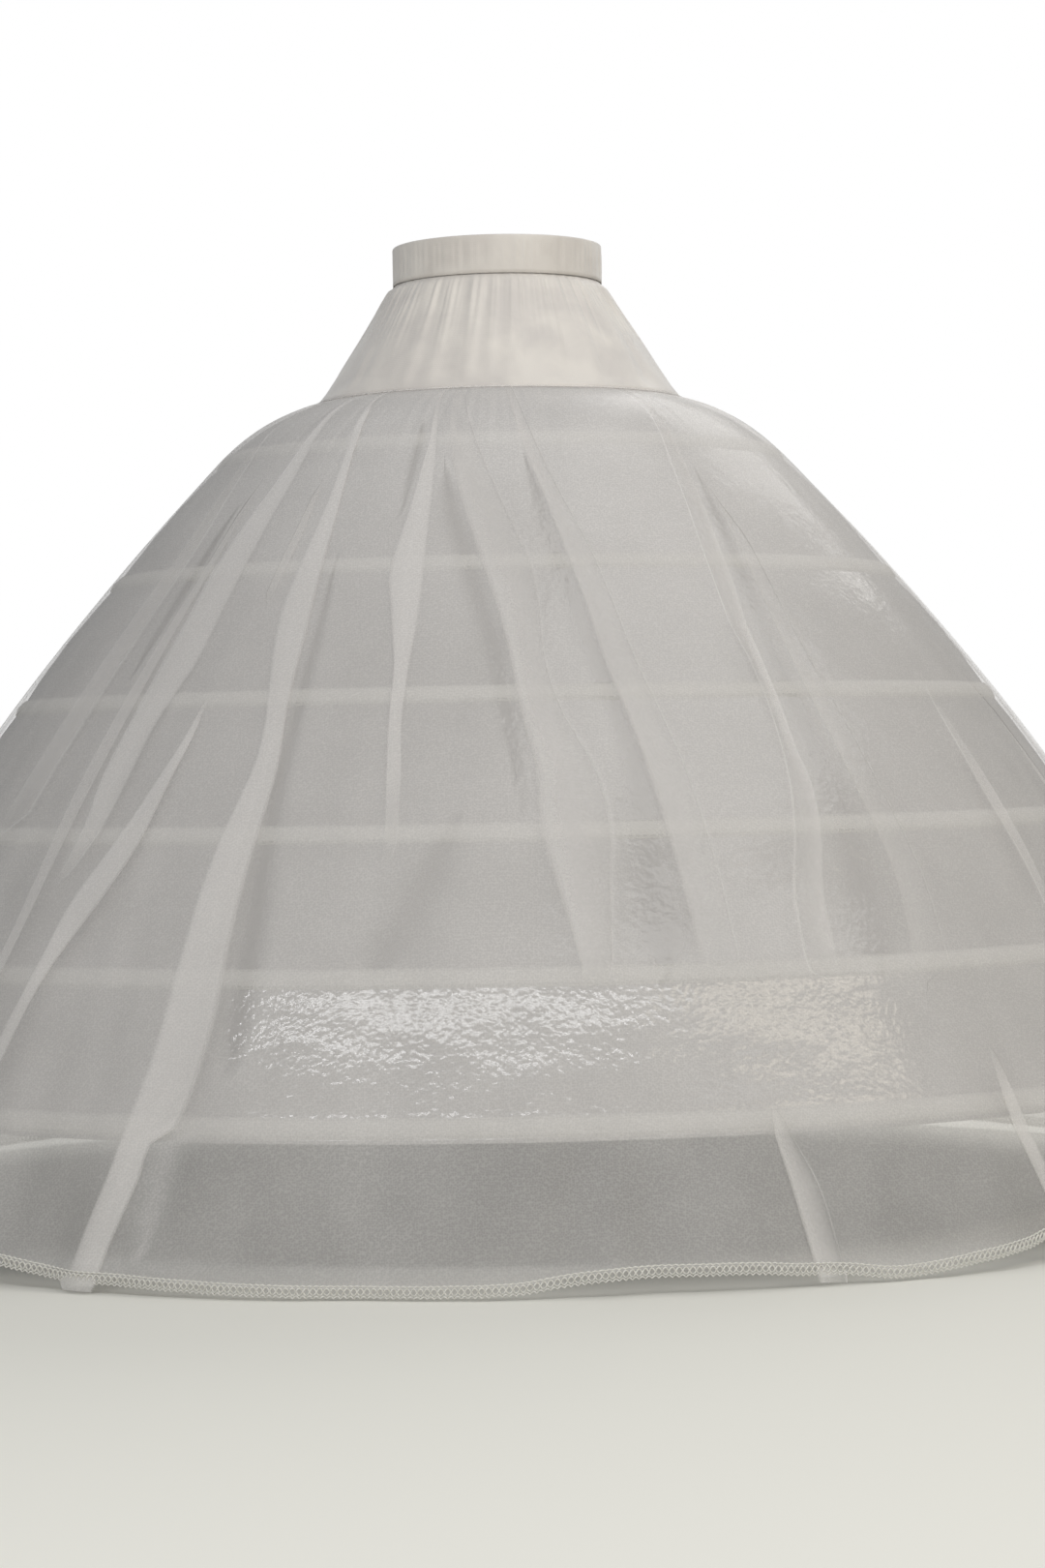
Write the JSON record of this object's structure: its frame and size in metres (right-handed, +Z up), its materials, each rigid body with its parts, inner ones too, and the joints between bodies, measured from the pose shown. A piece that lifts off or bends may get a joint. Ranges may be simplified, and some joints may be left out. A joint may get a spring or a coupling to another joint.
{
  "type": "hooped petticoat",
  "caption": "Bell-shaped hooped petticoat: elastic waist, gathered yoke, lining with covered hoops, and a sheer net overskirt with a lace hem.",
  "frame": {"origin": "on the floor, at the centre of the lace hem", "axes": "+Z up along the wearer's axis through the waist, -Y to the front, +X to the viewer's right"},
  "size_m": [1.6248, 1.6248, 1],
  "materials": {
    "band_cloth": "smooth matte",
    "elastic": "woven matte",
    "yoke_cloth": "gathered matte",
    "lining_cloth": "crisp satin",
    "net": "sheer net",
    "lace": "openwork",
    "casing_cloth": "matte tape",
    "bone": "plastic-coated steel",
    "joiner": "crimped"
  },
  "bodies": {
    "root": {"waistband": "band_cloth", "waist_elastic": "elastic", "hip_yoke": "yoke_cloth", "lining_skirt": "lining_cloth", "overskirt": "net", "lace_hem": "lace", "hoop_casing_1": "casing_cloth", "hoop_bone_1": "bone", "hoop_joiner_1": "joiner", "hoop_casing_2": "casing_cloth", "hoop_bone_2": "bone", "hoop_joiner_2": "joiner", "hoop_casing_3": "casing_cloth", "hoop_bone_3": "bone", "hoop_joiner_3": "joiner", "hoop_casing_4": "casing_cloth", "hoop_bone_4": "bone", "hoop_joiner_4": "joiner", "hoop_casing_5": "casing_cloth", "hoop_bone_5": "bone", "hoop_joiner_5": "joiner", "hoop_casing_6": "casing_cloth", "hoop_bone_6": "bone", "hoop_joiner_6": "joiner"}
  },
  "joints": []
}
